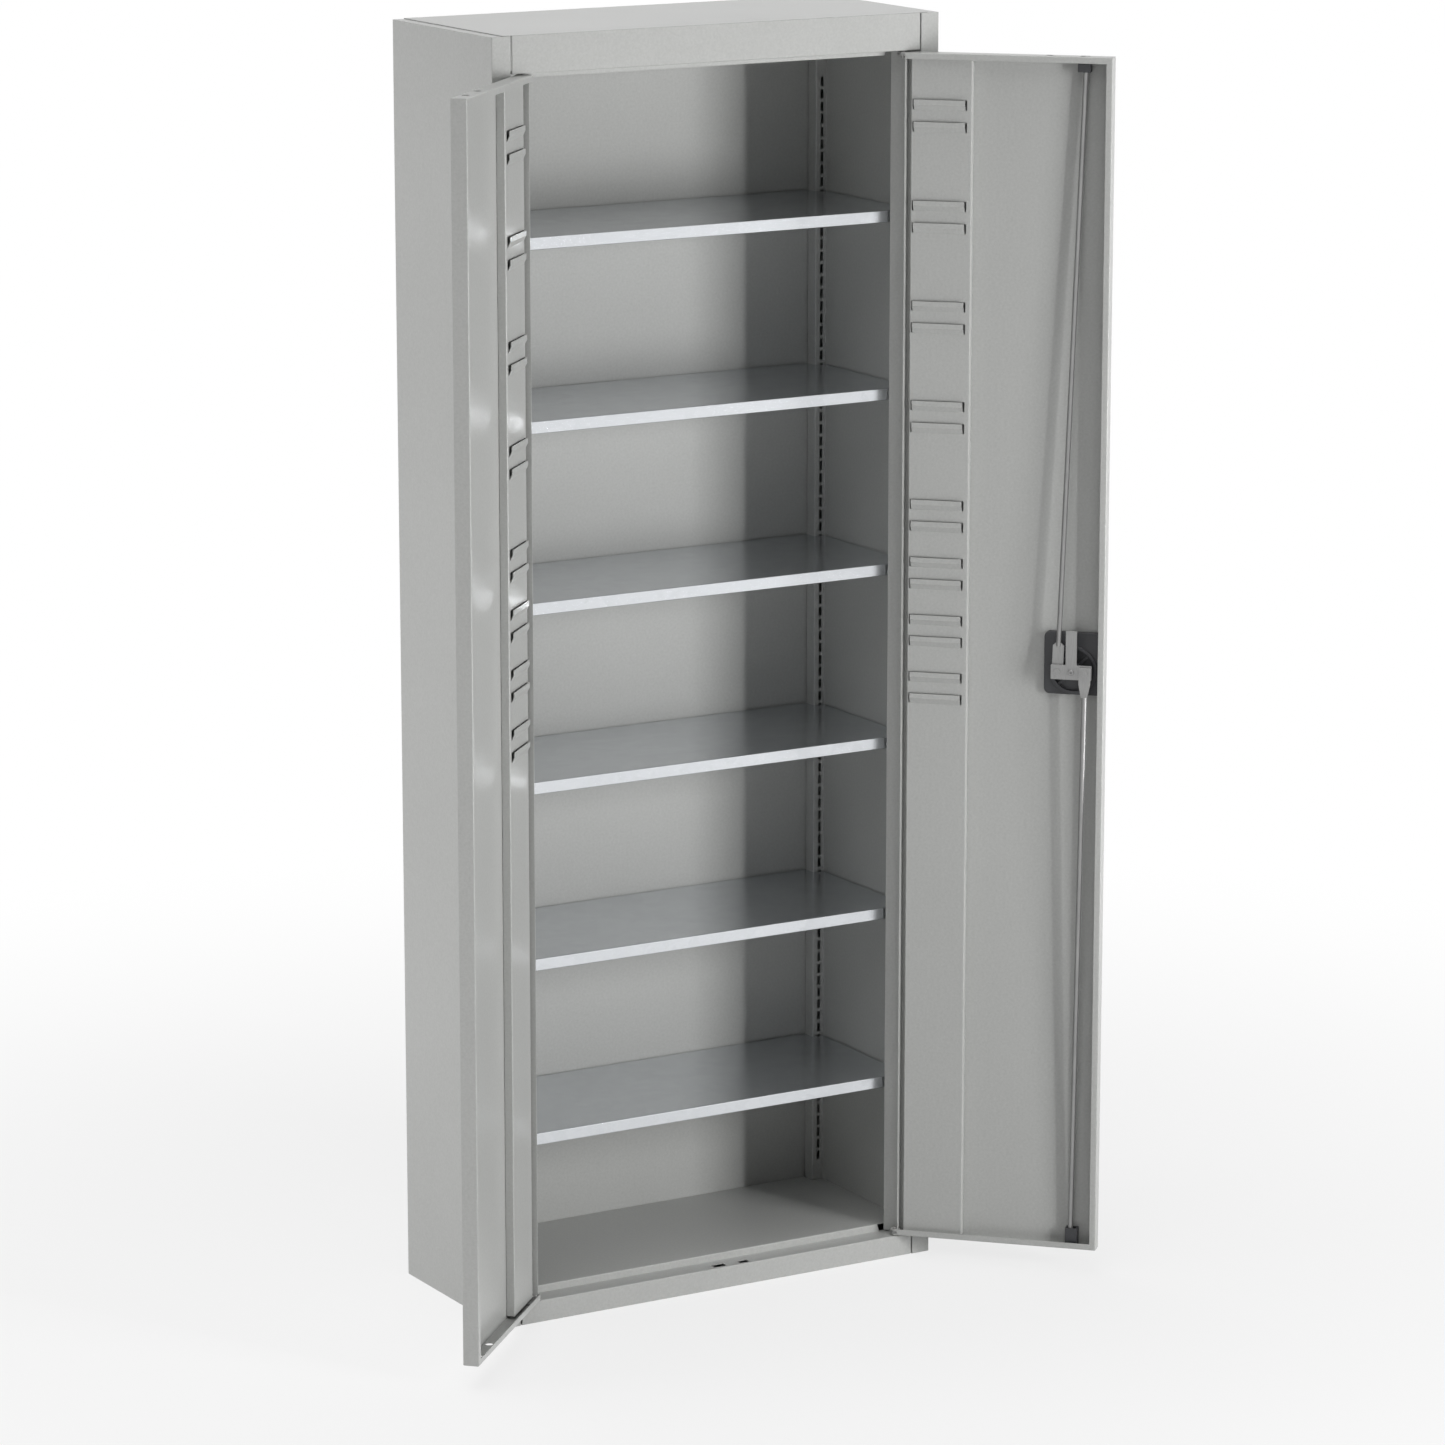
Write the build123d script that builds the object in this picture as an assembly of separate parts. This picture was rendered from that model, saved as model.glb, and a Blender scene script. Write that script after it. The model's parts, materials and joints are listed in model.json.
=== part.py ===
from build123d import *
import os

# A storage cupboard of folded sheet steel. Lengths are in millimetres.
# X runs to the right, Y runs from the doors to the back, Z runs up from the floor.
# The origin is on the floor, in the middle of the foot flange under the plinth.

# Overall size and sheet
width = 680
depth = 280
height = 1740
sheet = 1
fold_radius = 1               # radius of a fold along the middle of the sheet
overrun = 5                   # how far a cut runs past the metal it goes through
fit = 0.05                    # gap all round between a turning part and its bearing
hidden_gap = 1.5              # gap left where folded parts pass each other
seam = 2                      # between a post and the fascia or the plinth

# Side panels
post_width = 28
post_return = 40
rear_return = 17
top_flange = 40
top_strip = 17                # part of the side panel's top flange left showing

# Inner walls with the slots for the shelf clips
liner_inset = 18              # from the outer side to the liner's outer face
liner_front_flange = 17
liner_rear_flange = 14
slot_length = 12.7
slot_width = 5
slots_per_column = 90
first_slot_drop = 110         # from the cupboard's top to the top of the first slot
slots_end = 65.8              # from the floor to the lower end of the row of slots
front_column = 55             # from the cupboard's front to the front column
rear_strip_width = 17.5       # a step in the liner's rear corner, with the rear slots in its front
rear_strip_depth = 22
rear_slot_in = 10             # from the strip's inner edge to the middle of its slots

# Fascia and door stop
fascia_height = 50
rebate_depth = 31.5
stop_drop = 8.5
stop_end = 63                 # from the outer side to the end of the stop
stop_slant = 5
rear_flange = 22

# Floor
plinth_height = 30.5
floor_rise = 10
foot_flange = 25
ledge_slot_length = 19
ledge_slot_width = 11
ledge_slot_side = 3.5         # from the cupboard's middle
ledge_slot_back = 10.5        # from the cupboard's front

# Shelves
shelf_count = 6
slots_per_shelf = 14          # slot pitches from one shelf to the next
upper_slot_count = 10         # slots above the one that holds the top shelf
shelf_front = 32              # from the cupboard's front
shelf_rear_gap = 2
shelf_side_gap = 1.5
shelf_edge = 16.5
shelf_return = 12

# Shelf clips
clip_sheet = 1.2
clip_width = 12
clip_tongue = 13
clip_height = 14
clip_neck = 4.4               # width of the part that goes through the slot
clip_neck_height = 9
clip_neck_drop = 1.5          # from the tongue's top to the neck
clip_neck_sink = 2.2          # from the slot's top to the neck
clip_tail = 5

# Doors, measured from the pin: u towards the free edge, v towards the inside, z up
pin_from_side = 50.5
pin_from_front = 9
door_depth = 22
door_gap = 3                  # between the free edges of the two doors
door_lift = 2                 # between the ledge and the door
door_drop = 2                 # between the fascia and the door
wing_gap = 4                  # between the door's hinge edge and the post
hinge_flange = 4.5            # from the pin to the hinge flange
hinge_flange_depth = 18.5
flange_notch = 6
lip = 8.5
lug_radius = 8
lug_slant = 4
outer_fold = 1.5
open_angle = 135

# Pins, bushes and washers
pin_diameter = 6
pin_reach = 10.5
pin_head_diameter = 10
pin_head_height = 2
washer_diameter = 14
bush_diameter = 10
bush_collar_diameter = 13
bush_collar_height = 1.5
pivot_plate_length = 36
pivot_plate_height = 3

# Stiffener and its hooks
stiffener_start = 12
stiffener_end = 96
stiffener_rise = 12           # from the door's inner face to the stiffener's face
stiffener_foot = 18
stiffener_end_gap = 4.5
hook_start = 14.5
hook_end = 89
hook_height = 13.7
hook_push = 3.8
hook_slit = 2
hook_pair_step = 30
hook_drops = (115, 251.25, 387.5, 523.75, 660, 740, 820, 900)   # from the cupboard's top

# Round holes in the door flanges
flange_hole = 10.7
flange_hole_step = 50         # between the two holes in a flange

# Lock: spindle place on the door, housing, cam
spindle_from_edge = 44.5
spindle_z = 853
spindle_diameter = 12
spindle_square = 8
spindle_hole = 20
housing_reach = 41            # from the spindle towards the hinge
housing_edge_gap = 1.5        # from the door's free edge
housing_below = 34.5          # from the spindle to the housing's lower end
housing_above = 52.3
housing_corner = 8
housing_plate = 7
housing_recess = 4
ring_radius = 33
ring_wall = 4
ring_rise = 3
hub_radius = 10
hub_rise = 16                 # from the door's inner face
rib_width = 3
edge_round = 0.8

cam_start = 23.5              # from the door's outer face to the cam's near face
cam_sheet = 3
cam_bar_length = 56
cam_bar_width = 20.2
cam_tongue_width = 15.2
cam_tongue_reach = 57.5
cam_round = 0.8
cam_throw = 19.4              # from the spindle to either rod pin
rod_pin_diameter = 5
rod_pin_head = 9
rod_pin_head_height = 1
rod_pin_spare = 0.2           # play along the pin
screw_diameter = 5
screw_head_diameter = 8
screw_head_height = 1.6
screw_length = 12
screw_socket = 3
screw_socket_depth = 2

# Rods and their guides
rod_diameter = 7
rod_end_sheet = 3
rod_end_below = 8             # flat end beyond the pin
upper_end_width = 15.6
upper_end_length = 40
upper_end_taper = 4
lower_end_width = 16
lower_end_length = 38
lower_end_taper = 23
rod_lap = 5                   # the rod runs into its flat end by this much
rod_tip_chamfer = 1
rod_tip_set = 0.6             # the tip sits this far in front of the pin line, towards the door's face
guide_from_edge = 38
guide_shift = 2.07            # the slot is off centre, as the rod swings to one side
guide_slot_length = 13.3
guide_slot_width = 8.8
guide_width = 17
guide_front = 14              # from the door's inner face to the guide's front
guide_top_height = 20
guide_bottom_height = 26.5
guide_round = 1
rod_hole_spare = 0.4
keeper_slot_length = 14.5
keeper_slot_width = 10

# Handle on the outer face of the right door
rose_diameter = 56
rose_height = 3
knob_gap = 0.4
knob_hub_diameter = 36
knob_hub_height = 19
grip_length = 96
grip_width = 18
grip_height = 12
grip_round = 3
spindle_in_knob = 8
plug_diameter = 11
plug_length = 9
plug_proud = 0.8
key_slot_length = 7
key_slot_width = 1.6
key_slot_depth = 6

# Places that follow from the sizes above
half_width = width / 2
front = -foot_flange / 2
back = front + depth
half_sheet = sheet / 2
post_edge = half_width - post_width
panel_end = post_edge - seam
liner_outer = half_width - liner_inset
liner_inner = liner_outer - sheet
strip_inner = liner_inner - rear_strip_width
strip_front = back - sheet - rear_strip_depth
rear_slot_x = strip_inner + rear_slot_in
stop_y = front + rebate_depth
floor_top = plinth_height + floor_rise
fascia_bottom = height - fascia_height
stop_half = half_width - stop_end
pin_x = half_width - pin_from_side
pin_y = front + pin_from_front
door_low = plinth_height + door_lift
door_high = fascia_bottom - door_drop
free_edge = pin_x - door_gap / 2
door_front = -pin_from_front
door_skin = door_front + sheet
door_back = door_front + door_depth
wing_edge = pin_x + wing_gap - post_edge
stiffener_face = door_skin + stiffener_rise
slot_pitch = (height - first_slot_drop - slots_end) / slots_per_column
spindle_u = free_edge - spindle_from_edge
guide_u = free_edge - guide_from_edge
housing_start = spindle_u - housing_reach
housing_end = free_edge - housing_edge_gap
housing_low = spindle_z - housing_below
housing_high = spindle_z + housing_above
cam_near = door_front + cam_start
cam_far = cam_near + cam_sheet
hub_top = door_skin + hub_rise
knob_near = door_front - rose_height - knob_gap
knob_far = knob_near - knob_hub_height
guide_front_v = door_skin + guide_front
upper_end_v = cam_near - rod_pin_spare - rod_end_sheet / 2
lower_end_v = cam_far + rod_pin_spare + rod_end_sheet / 2
upper_pin_u = spindle_u - cam_throw
lower_pin_u = spindle_u + cam_throw

os.makedirs("parts", exist_ok=True)


def save(node, shape):
    shape.label = node
    export_step(shape, f"parts/{node}.step")


def block(low, high):
    # a box between two opposite corners
    size = [b - a for a, b in zip(low, high)]
    return Pos(*low) * Box(*size, align=(Align.MIN, Align.MIN, Align.MIN))


def folded(plane, corners, start, end):
    # a sheet folded along the corners of its middle line, from start to end across the plane
    middle = FilletPolyline(*corners, radius=fold_radius)
    profile = plane.offset(start) * trace(middle, sheet)
    return extrude(profile, end - start, dir=plane.z_dir)


def rod_of(diameter, length):
    # a cylinder that stands on the plane it is placed in
    return Cylinder(diameter / 2, length, align=(Align.CENTER, Align.CENTER, Align.MIN))


def upright(diameter, x, y, low, high):
    return Pos(x, y, low) * rod_of(diameter, high - low)


def across(diameter, u, z, near, far):
    # a cylinder along v, from near to far, on the door
    axis = Plane(origin=(u, near, z), x_dir=(1, 0, 0), z_dir=(0, 1, 0))
    return axis * rod_of(diameter, far - near)


def side_wall_plane(x):
    # looking along X: the first direction is Y and the second is Z
    return Plane(origin=(x, 0, 0), x_dir=(0, 1, 0), z_dir=(1, 0, 0))


def edges_along(shape, axis, test):
    return [edge for edge in shape.edges().filter_by(axis) if test(edge.center())]


def side_panel():
    outer = half_width - half_sheet
    rear = back - sheet - half_sheet
    corners = [
        (post_edge + half_sheet, front + post_return),
        (post_edge + half_sheet, front + half_sheet),
        (outer, front + half_sheet),
        (outer, rear),
        (half_width - rear_return, rear),
    ]
    top = height - sheet
    wall = folded(Plane.XY, corners, 0, top)
    cover = block(
        (half_width - top_flange, front + sheet, top - sheet),
        (outer, rear, top),
    )
    inner_corner = block(
        (half_width - top_flange - overrun, front, top - sheet - overrun),
        (post_edge, front + post_return + overrun, top + overrun),
    )
    return wall + (cover - inner_corner)


def slot_top(row):
    return height - first_slot_drop - row * slot_pitch


def shelf_top(number):
    # a shelf hangs from the slot its clips are hooked into
    slot = slot_top(upper_slot_count + number * slots_per_shelf)
    return slot - clip_neck_sink + clip_neck_drop + shelf_edge


def inner_wall():
    rear = back - sheet - sheet - half_sheet
    flange_x = post_edge + sheet + half_sheet
    flange_end = front + post_return
    wall_x = liner_outer - half_sheet
    step_x = strip_inner + half_sheet
    step_y = strip_front + half_sheet
    corners = [
        (flange_x, flange_end - liner_front_flange),
        (flange_x, flange_end - half_sheet),
        (wall_x, flange_end - half_sheet),
        (wall_x, step_y),
        (step_x, step_y),
        (step_x, rear),
        (step_x + liner_rear_flange, rear),
    ]
    wall = folded(Plane.XY, corners, hidden_gap, height - sheet - sheet)
    column_y = front + front_column
    slots = []
    for row in range(slots_per_column):
        top = slot_top(row)
        low = top - slot_length
        slots.append(
            block(
                (liner_inner - overrun, column_y - slot_width / 2, low),
                (liner_outer + overrun, column_y + slot_width / 2, top),
            )
        )
        slots.append(
            block(
                (rear_slot_x - slot_width / 2, strip_front - overrun, low),
                (rear_slot_x + slot_width / 2, strip_front + sheet + overrun, top),
            )
        )
    return wall - slots


def back_panel():
    half = half_width - hidden_gap
    panel = block((-half, back - sheet, hidden_gap), (half, back, height - hidden_gap))
    corners = edges_along(panel, Axis.Y, lambda place: True)
    return fillet(corners, outer_fold)


def stop_ends(low, high, slant_low, slant_high):
    # cuts that leave the stop strip between its slanted ends
    near = stop_y - sheet
    cuts = []
    for side in (-1, 1):
        outline = [
            (side * (stop_half - slant_low), low),
            (side * (stop_half - slant_high), high),
            (side * (half_width + overrun), high),
            (side * (half_width + overrun), low),
        ]
        face = make_face(Polyline(*outline, close=True))
        placed = Plane(origin=(0, near, 0), x_dir=(1, 0, 0), z_dir=(0, -1, 0)) * face
        cuts.append(extrude(placed, sheet + sheet + fold_radius, dir=(0, 1, 0)))
    return cuts


def keeper_slot(z):
    # where a rod of the right door goes through the sheet
    rod_x = pin_x - guide_u
    shift = guide_shift
    return block(
        (rod_x + shift - keeper_slot_length / 2, pin_y - keeper_slot_width / 2, z - overrun),
        (rod_x + shift + keeper_slot_length / 2, pin_y + keeper_slot_width / 2, z + overrun),
    )


def pin_bore(x, y, low, high):
    return upright(pin_diameter + 2 * fit, x, y, low - overrun, high + overrun)


def pin_holes(z):
    return [pin_bore(side * pin_x, pin_y, z, z) for side in (-1, 1)]


def top_panel():
    # the stop, the rebate flange, the fascia and the top sheet are one folded sheet
    stop_low = fascia_bottom - stop_drop
    corners = [
        (stop_y + half_sheet, stop_low),
        (stop_y + half_sheet, fascia_bottom + half_sheet),
        (front + half_sheet, fascia_bottom + half_sheet),
        (front + half_sheet, height - half_sheet),
        (back - sheet - half_sheet, height - half_sheet),
        (back - sheet - half_sheet, height - rear_flange),
    ]
    panel = folded(Plane.YZ, corners, -panel_end, panel_end)
    flange_half = half_width - top_flange - hidden_gap
    for side in (-1, 1):
        beyond = side * (half_width + overrun)
        inner = side * flange_half
        low_x = min(inner, beyond)
        high_x = max(inner, beyond)
        panel -= block(
            (low_x, back - sheet - sheet - fold_radius, height - rear_flange - overrun),
            (high_x, back + overrun, height - sheet),
        )
        low_x = min(side * flange_half, side * (half_width - top_strip))
        high_x = max(side * flange_half, side * (half_width - top_strip))
        panel += block(
            (low_x, front + sheet + fold_radius, height - sheet),
            (high_x, back - hidden_gap, height),
        )
    panel -= stop_ends(stop_low - overrun, fascia_bottom, stop_slant, 0)
    panel -= keeper_slot(fascia_bottom)
    return panel - pin_holes(fascia_bottom)


def floor_panel():
    # the foot flange, the plinth, the ledge, the riser and the floor are one folded sheet
    corners = [
        (front + foot_flange, half_sheet),
        (front + half_sheet, half_sheet),
        (front + half_sheet, plinth_height - half_sheet),
        (stop_y + half_sheet, plinth_height - half_sheet),
        (stop_y + half_sheet, floor_top - half_sheet),
        (back - sheet - half_sheet, floor_top - half_sheet),
        (back - sheet - half_sheet, floor_top - rear_flange),
    ]
    panel = folded(Plane.YZ, corners, -panel_end, panel_end)
    liner_front = front + post_return
    for side in (-1, 1):
        low_x = min(side * panel_end, side * liner_inner)
        high_x = max(side * panel_end, side * liner_inner)
        panel += block(
            (low_x, liner_front + hidden_gap, floor_top - sheet),
            (high_x, back - sheet, floor_top),
        )
        # the liners' rear steps stand in the floor's rear corners
        step_low = min(side * (strip_inner - hidden_gap), side * half_width)
        step_high = max(side * (strip_inner - hidden_gap), side * half_width)
        panel -= block(
            (step_low, strip_front - hidden_gap, floor_top - sheet - overrun),
            (step_high, back - sheet - sheet, floor_top + overrun),
        )
    panel -= stop_ends(plinth_height, floor_top + overrun, 0, stop_slant)
    slot_y = front + ledge_slot_back
    panel -= block(
        (ledge_slot_side - ledge_slot_length / 2, slot_y - ledge_slot_width / 2, plinth_height - overrun),
        (ledge_slot_side + ledge_slot_length / 2, slot_y + ledge_slot_width / 2, plinth_height + overrun),
    )
    panel -= keeper_slot(plinth_height)
    return panel - pin_holes(plinth_height)


def shelf(top):
    low = top - shelf_edge + half_sheet
    high = top - half_sheet
    near = front + shelf_front + half_sheet
    far = back - sheet - shelf_rear_gap - half_sheet
    corners = [
        (near + shelf_return, low),
        (near, low),
        (near, high),
        (far, high),
        (far, low),
        (far - shelf_return, low),
    ]
    # behind the posts the shelf is wider and turns down at both sides
    # its rear corners are notched for the liners' steps
    plate = folded(Plane.YZ, corners, -panel_end, panel_end)
    half = liner_inner - shelf_side_gap
    notch_x = strip_inner - shelf_side_gap
    side_front = front + post_return + hidden_gap
    side_back = strip_front - shelf_side_gap
    for side in (-1, 1):
        low_x = min(side * (panel_end - sheet), side * half)
        high_x = max(side * (panel_end - sheet), side * half)
        plate += block((low_x, side_front, top - sheet), (high_x, side_back, top))
        low_x = min(side * half, side * (half - sheet))
        high_x = max(side * half, side * (half - sheet))
        plate += block((low_x, side_front, top - shelf_edge), (high_x, side_back, top))
        low_x = min(side * notch_x, side * half_width)
        high_x = max(side * notch_x, side * half_width)
        plate -= block((low_x, side_back, top - shelf_edge - overrun), (high_x, back, top + overrun))
        low_x = min(side * notch_x, side * half)
        high_x = max(side * notch_x, side * half)
        plate += block((low_x, side_back - sheet, top - shelf_edge), (high_x, side_back, top))
    return plate


def shelf_clip():
    # the tongue carries the shelf, the neck goes through a slot and the tail hooks behind the sheet
    # drawn with the sheet's face at X zero, facing the tongue, and the tongue's top at Z zero
    half = clip_width / 2
    neck_half = clip_neck / 2
    neck_low = -clip_neck_drop - clip_neck_height
    behind = sheet + fit
    tail_end = behind + clip_sheet
    tongue = block((-clip_tongue, -half, -clip_sheet), (0, half, 0))
    plate = block((-clip_sheet, -half, -clip_height), (0, half, 0))
    neck = block((-clip_sheet, -neck_half, neck_low), (tail_end, neck_half, -clip_neck_drop))
    tail = block((behind, -neck_half, neck_low - clip_tail), (tail_end, neck_half, -clip_neck_drop))
    return tongue + plate + neck + tail


def shelf_clips(shelf_tops):
    clips = []
    for top in shelf_tops:
        rest = top - shelf_edge
        for place in (
            Pos(liner_inner, front + front_column, rest),
            Pos(rear_slot_x, strip_front, rest) * Rotation(0, 0, 90),
        ):
            clip = place * shelf_clip()
            clips.append(clip)
            clips.append(mirror(clip, about=Plane.YZ))
    return Compound(children=clips)


def hinge_pins():
    pins = []
    for side in (-1, 1):
        ledge_under = plinth_height - sheet
        pins.append(
            upright(pin_diameter, side * pin_x, pin_y, ledge_under, plinth_height + pin_reach)
            + upright(pin_head_diameter, side * pin_x, pin_y, ledge_under - pin_head_height, ledge_under)
        )
        flange_over = fascia_bottom + sheet
        pins.append(
            upright(pin_diameter, side * pin_x, pin_y, fascia_bottom - pin_reach, flange_over)
            + upright(pin_head_diameter, side * pin_x, pin_y, flange_over, flange_over + pin_head_height)
        )
    return Compound(children=pins)


def hinge_washers():
    washers = []
    for side in (-1, 1):
        ring = upright(washer_diameter, side * pin_x, pin_y, plinth_height, door_low)
        washers.append(ring - pin_bore(side * pin_x, pin_y, plinth_height, door_low))
    return Compound(children=washers)


def door_lug(low, high):
    # the end of a door flange, rounded about the pin
    flat_end = hinge_flange + sheet
    outline = Polyline(
        (flat_end, door_front + sheet),
        (flat_end, door_back),
        (hinge_flange - lug_slant, door_back),
        close=True,
    )
    wedge = Polyline((0, door_front + sheet), (flat_end, door_front + sheet), (flat_end, 0), close=True)
    round_end = Circle(lug_radius)
    flange = make_hull(round_end.edges() + outline.edges() + wedge.edges())
    return extrude(Plane.XY.offset(low) * flange, high - low, dir=(0, 0, 1))


def door_tray():
    shell = block((hinge_flange, door_front, door_low), (free_edge, door_back, door_high))
    middle_u = (hinge_flange + free_edge) / 2
    folds = edges_along(shell, Axis.Z, lambda place: place.X > middle_u)
    folds += edges_along(shell, Axis.X, lambda place: True)
    shell = fillet(folds, outer_fold)
    shell -= block(
        (hinge_flange + sheet, door_skin, door_low + sheet),
        (free_edge - sheet, door_back - sheet, door_high - sheet),
    )
    shell -= block(
        (hinge_flange + sheet, door_back - sheet - sheet, door_low + lip),
        (free_edge - lip, door_back + overrun, door_high - lip),
    )
    shell -= block(
        (hinge_flange - overrun, door_front + hinge_flange_depth, door_low + lip),
        (hinge_flange + sheet + overrun, door_back + overrun, door_high - lip),
    )
    wing_end = hinge_flange + outer_fold + sheet
    shell += block((wing_edge, door_front, door_low), (wing_end, door_skin, door_high))
    for low, high in ((door_low, door_low + sheet), (door_high - sheet, door_high)):
        shell += door_lug(low, high)
    for low, high in (
        (door_low + sheet, door_low + sheet + flange_notch),
        (door_high - sheet - flange_notch, door_high - sheet),
    ):
        shell -= block(
            (hinge_flange - overrun, door_skin, low),
            (hinge_flange + sheet, door_back + overrun, high),
        )
    bore = bush_diameter + 2 * fit
    shell -= upright(bore, 0, 0, door_low - overrun, door_low + overrun)
    shell -= upright(bore, 0, 0, door_high - overrun, door_high + overrun)
    for place in (guide_u - flange_hole_step, guide_u):
        shell -= upright(flange_hole, place, 0, door_low - overrun, door_low + overrun)
        shell -= upright(flange_hole, place, 0, door_high - overrun, door_high + overrun)
    return shell


def rod_opening(side, length, opening_width, low, high):
    # a slot the rod goes through: it is off centre to the side that the rod swings to
    slot = SlotOverall(length, opening_width)
    placed = Plane.XY.offset(low) * Pos(guide_u + side * guide_shift, 0) * slot
    return extrude(placed, high - low, dir=(0, 0, 1))


def right_tray():
    tray = door_tray()
    length = guide_slot_length + rod_hole_spare
    opening_width = guide_slot_width + rod_hole_spare
    tray -= rod_opening(1, length, opening_width, door_low - overrun, door_low + overrun)
    tray -= rod_opening(-1, length, opening_width, door_high - overrun, door_high + overrun)
    return tray - across(spindle_hole, spindle_u, spindle_z, door_front - overrun, door_skin + overrun)


def stiffener():
    face = stiffener_face - half_sheet
    foot = door_skin + half_sheet
    near = stiffener_start + half_sheet
    far = stiffener_end - half_sheet
    corners = [
        (near + stiffener_foot, foot),
        (near, foot),
        (near, face),
        (far, face),
        (far, foot),
        (far - stiffener_foot, foot),
    ]
    low = door_low + sheet + stiffener_end_gap
    high = door_high - sheet - stiffener_end_gap
    channel = folded(Plane.XY, corners, low, high)
    windows = []
    hooks = []
    for drop in hook_drops:
        top = height - drop
        for hook_top in (top, top - hook_pair_step):
            hook_low = hook_top - hook_height
            windows.append(
                block(
                    (hook_start, stiffener_face - sheet - half_sheet, hook_low),
                    (hook_end, stiffener_face + half_sheet, hook_top),
                )
            )
            hooks.append(stiffener_hook(hook_low, hook_top))
    channel -= windows
    return channel + hooks


def stiffener_hook(low, top):
    # a tongue cut free at its top and ends and pushed towards the inside
    inner = stiffener_face - sheet
    outline = [
        (inner, low - half_sheet),
        (stiffener_face, low - half_sheet),
        (stiffener_face + hook_push, top - hook_height / 2),
        (stiffener_face + hook_push, top),
        (inner + hook_push, top),
        (inner + hook_push, top - hook_height / 2),
    ]
    profile = side_wall_plane(hook_start + hook_slit) * make_face(Polyline(*outline, close=True))
    return extrude(profile, hook_end - hook_start - 2 * hook_slit, dir=(1, 0, 0))


def pivot_levels():
    return (door_low + sheet, door_high - sheet - pivot_plate_height)


def pivot_plates():
    plates = []
    for low in pivot_levels():
        high = low + pivot_plate_height
        strip = block((0, -lug_radius, low), (pivot_plate_length, lug_radius, high))
        plate = strip + upright(2 * lug_radius, 0, 0, low, high)
        plate -= upright(bush_diameter + 2 * fit, 0, 0, low - overrun, high + overrun)
        plates.append(plate)
    return Compound(children=plates)


def pivot_bush(flange, inward):
    # the barrel runs from the door flange's outer face, the collar sits on the pivot plate
    barrel_end = flange + inward * (sheet + pivot_plate_height)
    collar_end = barrel_end + inward * bush_collar_height
    barrel = upright(bush_diameter, 0, 0, min(flange, barrel_end), max(flange, barrel_end))
    collar_low = min(barrel_end, collar_end)
    collar = upright(bush_collar_diameter, 0, 0, collar_low, max(barrel_end, collar_end))
    return barrel + collar - pin_bore(0, 0, min(flange, collar_end), max(flange, collar_end))


def pivot_bushes():
    return Compound(children=[pivot_bush(door_low, 1), pivot_bush(door_high, -1)])


def lock_housing():
    plate_top = door_skin + housing_plate
    body = block((housing_start, door_skin, housing_low), (housing_end, plate_top, housing_high))
    body = fillet(edges_along(body, Axis.Y, lambda place: True), housing_corner)
    rim = [edge for edge in body.edges() if abs(edge.center().Y - plate_top) < fit]
    body = fillet(rim, edge_round)
    ring_top = plate_top + ring_rise
    body += across(2 * ring_radius, spindle_u, spindle_z, door_skin, ring_top)
    body = body & block(
        (housing_start, door_skin, housing_low),
        (housing_end, ring_top, housing_high),
    )
    well_floor = plate_top - housing_recess
    body -= across(2 * (ring_radius - ring_wall), spindle_u, spindle_z, well_floor, ring_top + overrun)
    body += across(2 * hub_radius, spindle_u, spindle_z, door_skin, hub_top)
    body += housing_ribs(well_floor - sheet, plate_top)
    body -= across(spindle_diameter + 2 * fit, spindle_u, spindle_z, door_skin - overrun, hub_top + overrun)
    return body


def housing_ribs(low, high):
    # four ribs on the diagonals, from the hub to the ring
    ribs = []
    for quarter in range(4):
        rib = block(
            (hub_radius - rib_width, low, -rib_width / 2),
            (ring_radius - ring_wall + rib_width / 2, high, rib_width / 2),
        )
        turn = Rotation(0, 45 + 90 * quarter, 0)
        ribs.append(Pos(spindle_u, 0, spindle_z) * turn * rib)
    return ribs


def rod_guide(low, high, side):
    slot_centre = guide_u + side * guide_shift
    body = block(
        (slot_centre - guide_width / 2, door_skin, low),
        (slot_centre + guide_width / 2, guide_front_v, high),
    )
    body = fillet(edges_along(body, Axis.Z, lambda place: place.Y > 0), guide_round)
    return body - rod_opening(side, guide_slot_length, guide_slot_width, low - overrun, high + overrun)


def lock_rose():
    rose_face = door_front - rose_height
    plate = across(rose_diameter, spindle_u, spindle_z, rose_face, door_front)
    outer_rim = [edge for edge in plate.edges() if edge.center().Y < rose_face + rose_height / 2]
    plate = fillet(outer_rim, edge_round)
    return plate - across(spindle_hole, spindle_u, spindle_z, rose_face - overrun, door_front + overrun)


def handle_knob():
    hub = across(knob_hub_diameter, spindle_u, spindle_z, knob_far, knob_near)
    grip_half = grip_length / 2
    grip_side = grip_width / 2
    grip = block(
        (spindle_u - grip_side, knob_far, spindle_z - grip_half),
        (spindle_u + grip_side, knob_far + grip_height, spindle_z + grip_half),
    )
    grip = fillet(edges_along(grip, Axis.Y, lambda place: True), grip_side - edge_round)
    knob = hub + grip
    outer_rim = [edge for edge in knob.edges() if abs(edge.center().Y - knob_far) < fit]
    knob = fillet(outer_rim, grip_round)
    plug_end = knob_far + plug_length
    knob -= across(plug_diameter + 2 * fit, spindle_u, spindle_z, knob_far - overrun, plug_end)
    bore_end = knob_near - spindle_in_knob
    return knob - across(spindle_diameter + 2 * fit, spindle_u, spindle_z, bore_end, knob_near + overrun)


def lock_spindle():
    # round in the housing, square through the cam, with a threaded end for the screw
    shaft = across(spindle_diameter, spindle_u, spindle_z, knob_near - spindle_in_knob, cam_near)
    half = spindle_square / 2
    square = block(
        (spindle_u - half, cam_near, spindle_z - half),
        (spindle_u + half, cam_far, spindle_z + half),
    )
    bore = across(screw_diameter + 2 * fit, spindle_u, spindle_z, cam_far - screw_length, cam_far + overrun)
    return shaft + square - bore


def rod_pin_bore(pin_u, near, far):
    return across(rod_pin_diameter + 2 * fit, pin_u, spindle_z, near - overrun, far + overrun)


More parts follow.
